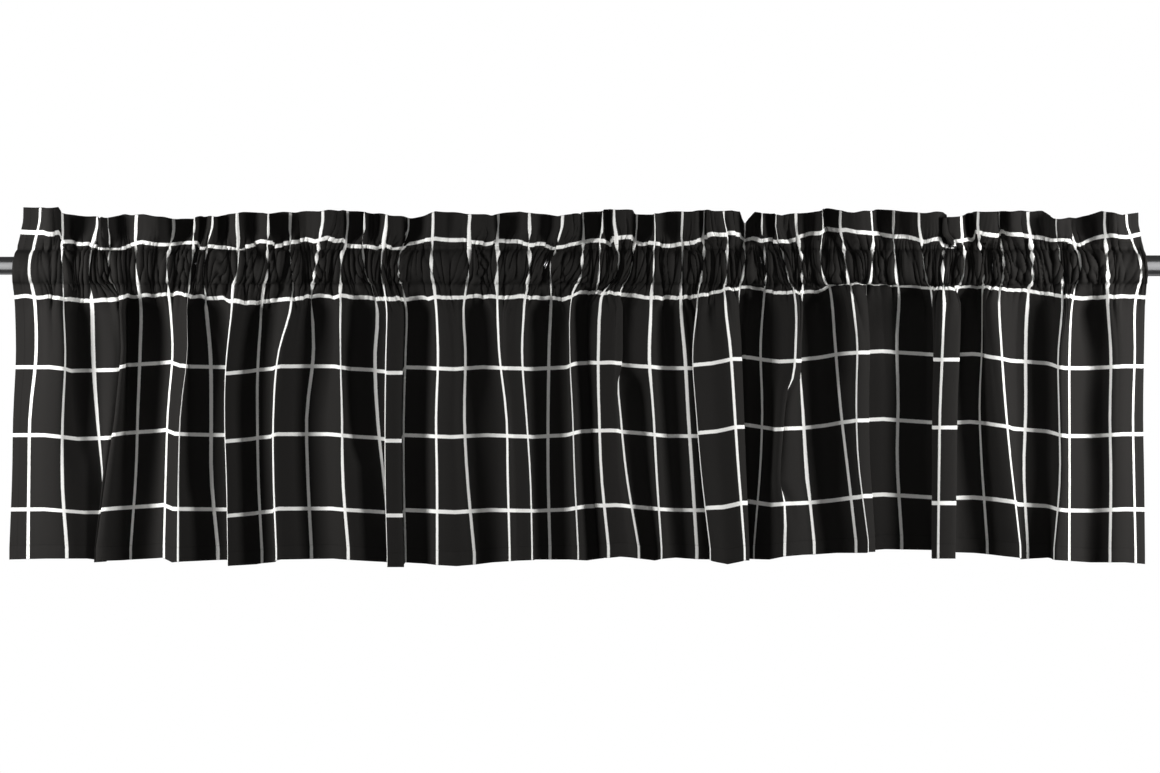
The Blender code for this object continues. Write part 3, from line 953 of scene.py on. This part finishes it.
@dataclass(frozen=True)
class CheckCotton:
    """Plain-weave cotton, black with a thin white windowpane check."""

    ink: tuple[float, float, float, float] = (0.0152, 0.0144, 0.0136, 1.0)
    chalk: tuple[float, float, float, float] = (0.84, 0.835, 0.81, 1.0)
    roughness: float = 0.86
    thread_mm: float = 0.42
    stitch_mm: float = 2.6
    side_hem: float = 9.0

    def make(self, cloth: FlatCloth) -> bpy.types.Material:
        """Make the material.


        Returns:
            The material, which reads the flat cloth's places from the UV map.
        """
        made = bpy.data.materials.new("check_cotton")
        made.use_nodes = True
        kit = NodeKit(made.node_tree)
        shader = made.node_tree.nodes["Principled BSDF"]
        flat = kit.add("ShaderNodeUVMap", uv_map="flat")
        split = kit.add("ShaderNodeSeparateXYZ")
        kit.feed(split.inputs[0], flat.outputs[0])
        across = kit.math("MULTIPLY", split.outputs[0], 1000.0)
        down = kit.math("MULTIPLY", split.outputs[1], 1000.0)
        half = 0.5 * cloth.line_width
        wander = kit.add("ShaderNodeTexNoise", noise_dimensions="2D")
        kit.feed(wander.inputs["Vector"], flat.outputs[0])
        kit.feed(wander.inputs["Scale"], 900.0)
        kit.feed(wander.inputs["Detail"], 1.0)
        rough_edge = kit.math("MULTIPLY", kit.math("SUBTRACT", wander.outputs[0], 0.5), 0.5)
        nearest = kit.math("PINGPONG", across, 0.5 * cloth.pitch)
        upright = self.stripe(kit, kit.math("ADD", nearest, rough_edge), half)
        level = None
        for row in cloth.rows:
            away = kit.math("ABSOLUTE", kit.math("SUBTRACT", down, row))
            stripe = self.stripe(kit, kit.math("ADD", away, rough_edge), half)
            level = stripe if level is None else kit.math("MAXIMUM", level, stripe)
        check = kit.math("MAXIMUM", upright, level)
        weave = self.weave(kit, across, down)
        tint = kit.mix(check, self.ink, self.chalk)
        stitch = self.stitches(kit, across, down, cloth)
        shade = kit.math("MULTIPLY_ADD", weave, 0.22, 0.89)
        shade = kit.math("MULTIPLY", shade, kit.math("MULTIPLY_ADD", stitch, -0.4, 1.0))
        node = kit.add("ShaderNodeMix", data_type="RGBA", blend_type="MULTIPLY")
        kit.feed(node.inputs["Factor"], 1.0)
        kit.feed(node.inputs[6], tint)
        grey = kit.add("ShaderNodeCombineColor")
        for socket in grey.inputs:
            kit.feed(socket, shade)
        kit.feed(node.inputs[7], grey.outputs[0])
        kit.feed(shader.inputs["Base Color"], node.outputs[2])
        shader.inputs["Roughness"].default_value = self.roughness
        shader.inputs["Specular IOR Level"].default_value = 0.06
        bump = kit.add("ShaderNodeBump")
        bump.inputs["Strength"].default_value = 0.35
        bump.inputs["Distance"].default_value = 0.00012
        kit.feed(bump.inputs["Height"], kit.math("MULTIPLY_ADD", stitch, -3.0, weave))
        kit.feed(shader.inputs["Normal"], bump.outputs[0])
        return made

    def stitches(self, kit: NodeKit, across: object, down: object, cloth: FlatCloth) -> object:
        """Return a mask of the stitches along the seams, the hem and both side hems."""
        found = None
        ends = (cloth.left_margin, cloth.width - cloth.left_margin)
        level = (cloth.heading, cloth.lower_seam, cloth.length - cloth.hem)
        upright = (self.side_hem - ends[0], ends[1] - self.side_hem)
        seams = [(down, across, place) for place in level] + [(across, down, place) for place in upright]
        for from_seam, along, place in seams:
            away = kit.math("ABSOLUTE", kit.math("SUBTRACT", from_seam, place))
            beat = kit.math("PINGPONG", along, 0.5 * self.stitch_mm)
            near = kit.math("LESS_THAN", away, 0.35)
            stitch = kit.math("MULTIPLY", near, kit.math("GREATER_THAN", beat, 0.22 * self.stitch_mm))
            found = stitch if found is None else kit.math("MAXIMUM", found, stitch)
        return found

    def stripe(self, kit: NodeKit, away: object, half: float) -> object:
        """Return a mask that is 1 within half of a line's middle, with a soft edge."""
        node = kit.add("ShaderNodeMapRange", interpolation_type="SMOOTHSTEP")
        kit.feed(node.inputs["Value"], away)
        kit.feed(node.inputs["From Min"], half - 0.3)
        kit.feed(node.inputs["From Max"], half + 0.3)
        kit.feed(node.inputs["To Min"], 1.0)
        kit.feed(node.inputs["To Max"], 0.0)
        return node.outputs[0]

    def weave(self, kit: NodeKit, across: object, down: object) -> object:
        """Return the height of a plain weave, from 0 to 1."""
        pace = math.pi / self.thread_mm
        warp = kit.math("SINE", kit.math("MULTIPLY", across, pace))
        weft = kit.math("SINE", kit.math("MULTIPLY", down, pace))
        return kit.math("MULTIPLY_ADD", kit.math("MULTIPLY", warp, weft), 0.5, 0.5)


@dataclass(frozen=True)
class SatinSteel:
    """Grey steel tube with a satin finish drawn along its length."""

    colour: tuple[float, float, float, float] = (0.62, 0.62, 0.63, 1.0)
    roughness: float = 0.22

    def make(self) -> bpy.types.Material:
        """Make the material, which reads Object coordinates."""
        made = bpy.data.materials.new("satin_steel")
        made.use_nodes = True
        kit = NodeKit(made.node_tree)
        shader = made.node_tree.nodes["Principled BSDF"]
        place = kit.add("ShaderNodeTexCoord")
        stretch = kit.add("ShaderNodeMapping")
        stretch.inputs["Scale"].default_value = (0.02, 1.0, 1.0)
        kit.feed(stretch.inputs["Vector"], place.outputs["Object"])
        grain = kit.add("ShaderNodeTexNoise")
        kit.feed(grain.inputs["Vector"], stretch.outputs[0])
        kit.feed(grain.inputs["Scale"], 1400.0)
        kit.feed(grain.inputs["Detail"], 3.0)
        rough = kit.math("MULTIPLY_ADD", grain.outputs[0], 0.1, self.roughness - 0.05)
        kit.feed(shader.inputs["Roughness"], rough)
        shader.inputs["Base Color"].default_value = self.colour
        shader.inputs["Metallic"].default_value = 1.0
        bump = kit.add("ShaderNodeBump")
        bump.inputs["Strength"].default_value = 0.12
        bump.inputs["Distance"].default_value = 0.00005
        kit.feed(bump.inputs["Height"], grain.outputs[0])
        kit.feed(shader.inputs["Normal"], bump.outputs[0])
        return made


@dataclass
class Panel:
    """The cloth: one sheet with its heading, rod pocket, skirt and hem."""

    cloth: FlatCloth = field(default_factory=FlatCloth)
    hang: Hang = field(default_factory=Hang)
    finish: CheckCotton = field(default_factory=CheckCotton)
    columns: int = 1700

    def build(self) -> bpy.types.Object:
        """Returns:
            The cloth's object.
        """
        flat = self.cloth.lines()
        at = np.linspace(flat[0], flat[-1], self.columns)
        folds = Folds(self.cloth, self.hang, at)
        rows = folds.rows()
        work = bmesh.new()
        bmesh.ops.create_grid(
            work, x_segments=self.columns - 1, y_segments=len(rows) - 1, size=1.0, calc_uvs=True
        )
        mesh = bpy.data.meshes.new("valance_cloth")
        work.to_mesh(mesh)
        work.free()
        start = np.zeros(len(mesh.vertices) * 3, np.float32)
        mesh.vertices.foreach_get("co", start)
        start = start.reshape(-1, 3)
        column = np.rint((start[:, 0] + 1.0) * 0.5 * (self.columns - 1)).astype(int)
        level = np.rint((start[:, 1] + 1.0) * 0.5 * (len(rows) - 1)).astype(int)
        points = np.stack([folds.place(row) for row in rows])
        weave = np.stack([row.weave_down for row in rows])
        mesh.vertices.foreach_set("co", points[level, column].astype(np.float32).ravel())
        corner = np.zeros(len(mesh.loops), np.int32)
        mesh.loops.foreach_get("vertex_index", corner)
        flat_place = np.stack([at[column], weave[level, column]], axis=1) * MM
        layer = mesh.uv_layers[0] if mesh.uv_layers else mesh.uv_layers.new()
        layer.name = "flat"
        layer.data.foreach_set("uv", flat_place[corner].astype(np.float32).ravel())
        mesh.update()
        mesh.shade_smooth()
        mesh.materials.append(self.finish.make(self.cloth))
        piece = bpy.data.objects.new("valance_cloth", mesh)
        bpy.context.scene.collection.objects.link(piece)
        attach(piece, "root")
        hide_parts("valance")
        LOG.info("cloth: %d rows, %d triangles", len(rows), 2 * len(mesh.polygons))
        return piece


@dataclass
class Rod:
    """The two tubes of the rod, drawn round and with eased rims at their ends."""

    finish: SatinSteel = field(default_factory=SatinSteel)
    wall: float = 0.00115
    rim: float = 0.00025
    segments: int = 72

    def build(self) -> None:
        """Build, dress and declare both tubes where the frame has them."""
        steel = self.finish.make()
        for name, node in (("rod_right_tube", "rod_wide_tube"), ("rod_left_tube", "rod_narrow_tube")):
            low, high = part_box(node)
            piece = self.tube(name, low[0], high[0], 0.5 * (high[2] - low[2]))
            piece.data.materials.append(steel)
            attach(piece, "root")
            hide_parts(node)
            LOG.info("%s: %d faces", name, len(piece.data.polygons))

    def tube(self, name: str, start: float, end: float, radius: float) -> bpy.types.Object:
        """Spin one tube round the rod's axis.

        Args:
            name: the piece's name.
            start: x of its left end.
            end: x of its right end.
            radius: its outer radius.

        Returns:
            The tube's object.
        """
        rim = self.rim
        bore = radius - self.wall
        outline = [
            (start + rim, radius),
            (end - rim, radius),
            (end, radius - rim),
            (end, bore + rim),
            (end - rim, bore),
            (start + rim, bore),
            (start, bore + rim),
            (start, radius - rim),
        ]
        work = bmesh.new()
        corners = [work.verts.new((x, 0.0, z)) for x, z in outline]
        for first, second in zip(corners, corners[1:] + corners[:1]):
            work.edges.new((first, second))
        bmesh.ops.spin(
            work,
            geom=work.verts[:] + work.edges[:],
            axis=(1.0, 0.0, 0.0),
            angle=math.tau,
            steps=self.segments,
            use_merge=True,
        )
        bmesh.ops.recalc_face_normals(work, faces=work.faces[:])
        mesh = bpy.data.meshes.new(name)
        work.to_mesh(mesh)
        work.free()
        mesh.shade_smooth()
        mesh.set_sharp_from_angle(angle=math.radians(30.0))
        made = bpy.data.objects.new(name, mesh)
        bpy.context.scene.collection.objects.link(made)
        return made


@dataclass
class Studio:
    """Pale floor, plain light and the camera."""

    centre: tuple[float, float, float] = (0.638, 0.0, -0.128)
    distance: float = 2.3
    view_width: float = 1.2296
    floor_drop: float = 0.78
    floor_radius: float = 1.6
    glow: float = 0.045

    def build(self) -> None:
        """Build the floor, the lights, the world and the camera."""
        self.floor()
        self.world()
        x = self.centre[0]
        rod = Vector((x, 0.0, 0.0))
        middle = Vector(self.centre)
        self.light("key", (-0.55, -0.48, -0.05), (0.35, 0.35), 15.4, middle)
        self.light("fill", (1.82, -0.48, -0.05), (0.35, 0.35), 16.6, middle)
        self.light("front", (x, -2.2, 0.25), (1.0, 1.0), 7.5, middle)
        self.light("back", (x, 2.0, 0.5), (1.2, 1.2), 24.0, middle)
        screens = [
            self.light("front_screen", (x, -1.2, -0.12), (6.0, 2.4), 21.5, rod),
            self.light("low_screen", (x, 1.0, -1.3), (5.0, 1.2), 3.0, rod),
        ]
        for screen in screens:
            screen.visible_diffuse = False
        self.camera()

    def floor(self) -> None:
        """Add a round pale floor under the cloth."""
        work = bmesh.new()
        bmesh.ops.create_circle(work, cap_ends=True, segments=96, radius=self.floor_radius)
        x, y, z = self.centre
        bmesh.ops.translate(work, verts=work.verts[:], vec=(x, y, z - self.floor_drop))
        mesh = bpy.data.meshes.new("studio_floor")
        work.to_mesh(mesh)
        work.free()
        made = bpy.data.materials.new("studio_paper")
        made.use_nodes = True
        shader = made.node_tree.nodes["Principled BSDF"]
        shader.inputs["Base Color"].default_value = (0.86, 0.86, 0.86, 1.0)
        shader.inputs["Roughness"].default_value = 0.8
        mesh.materials.append(made)
        shader.inputs["Emission Color"].default_value = (1.0, 1.0, 1.0, 1.0)
        shader.inputs["Emission Strength"].default_value = 0.5
        floor = bpy.data.objects.new("studio_floor", mesh)
        floor.visible_diffuse = False
        floor.visible_glossy = False
        bpy.context.scene.collection.objects.link(floor)
        floor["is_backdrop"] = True

    def world(self) -> None:
        """Make a white surround that lights the cloth only a little."""
        world = bpy.data.worlds.new("studio")
        world.use_nodes = True
        kit = NodeKit(world.node_tree)
        ground = world.node_tree.nodes["Background"]
        ray = kit.add("ShaderNodeLightPath")
        kit.feed(ground.inputs["Color"], (1.0, 1.0, 1.0, 1.0))
        seen = ray.outputs["Is Camera Ray"]
        strength = kit.math("MULTIPLY_ADD", seen, 1.0 - self.glow, self.glow)
        kit.feed(ground.inputs["Strength"], strength)
        bpy.context.scene.world = world

    def light(
        self, name: str, place: tuple[float, ...], size: tuple[float, float], power: float, aim: Vector
    ) -> bpy.types.Object:
        """Add a soft lamp or screen, which the camera doesn't see.

        Args:
            name: the lamp's name.
            place: where it stands, in metres.
            size: its width and height, in metres.
            power: its power in watts.
            aim: the point that it looks at.

        Returns:
            The lamp's object.
        """
        lamp = bpy.data.lights.new(name, "AREA")
        lamp.shape = "RECTANGLE"
        lamp.size, lamp.size_y = size
        lamp.energy = power
        made = bpy.data.objects.new(name, lamp)
        made.location = place
        made.rotation_mode = "QUATERNION"
        made.rotation_quaternion = (aim - Vector(place)).to_track_quat("-Z", "Y")
        made.visible_camera = False
        bpy.context.scene.collection.objects.link(made)
        return made

    def camera(self) -> None:
        """Add the camera, level with the picture's middle and square to the rod."""
        lens = bpy.data.cameras.new("camera")
        lens.lens = lens.sensor_width * self.distance / self.view_width
        made = bpy.data.objects.new("camera", lens)
        x, y, z = self.centre
        made.location = (x, y - self.distance, z)
        made.rotation_euler = (math.radians(90.0), 0.0, 0.0)
        bpy.context.scene.collection.objects.link(made)
        bpy.context.scene.camera = made
        bpy.context.scene.view_settings.view_transform = "Standard"


def main(cad_box: tuple[Vector, Vector]) -> None:
    """Build the cloth and the rod and set up the studio.

    Args:
        cad_box: the frame's box before anything is added; not used.
    """
    logging.basicConfig(level=logging.INFO, format="%(message)s")
    Panel().build()
    Rod().build()
    Studio().build()


if __name__ == "__main__":
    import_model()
    main(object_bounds())
